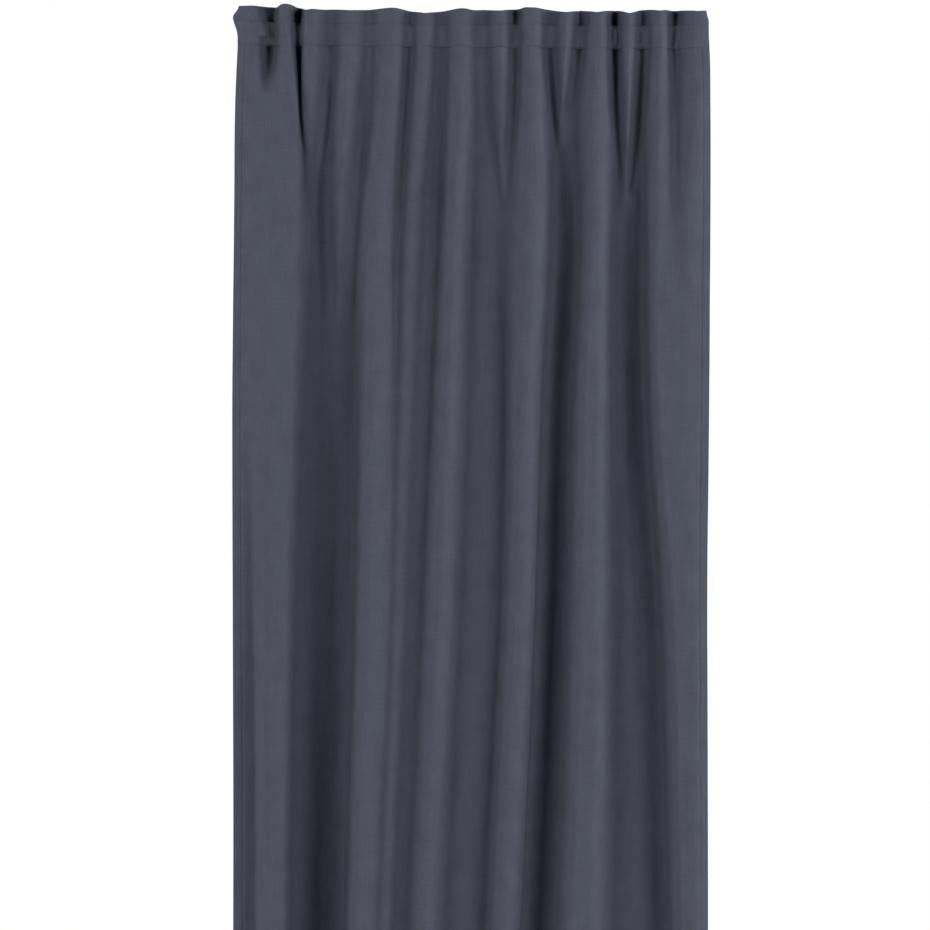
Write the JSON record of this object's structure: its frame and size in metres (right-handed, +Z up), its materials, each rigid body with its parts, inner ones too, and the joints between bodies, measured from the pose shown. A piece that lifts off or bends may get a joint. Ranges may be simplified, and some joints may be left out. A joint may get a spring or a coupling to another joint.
{
  "type": "curtain",
  "caption": "Plain linen-look curtain with a rod pocket and a small frill at its top, hanging gathered in soft uneven folds from the heading to a turned-up hem.",
  "frame": {"origin": "middle of the top edge, on the upright plane through the middle of the rod pocket", "axes": "+Z up along the fall, +X across the curtain to the right as seen from the front, the front facing -Y"},
  "size_m": [1.012, 0.1261, 2.5159],
  "materials": {
    "heading_cloth": "matt woven, anthracite",
    "panel_cloth": "matt woven, anthracite"
  },
  "bodies": {
    "root": {"heading": "heading_cloth", "panel": "panel_cloth"}
  },
  "joints": []
}
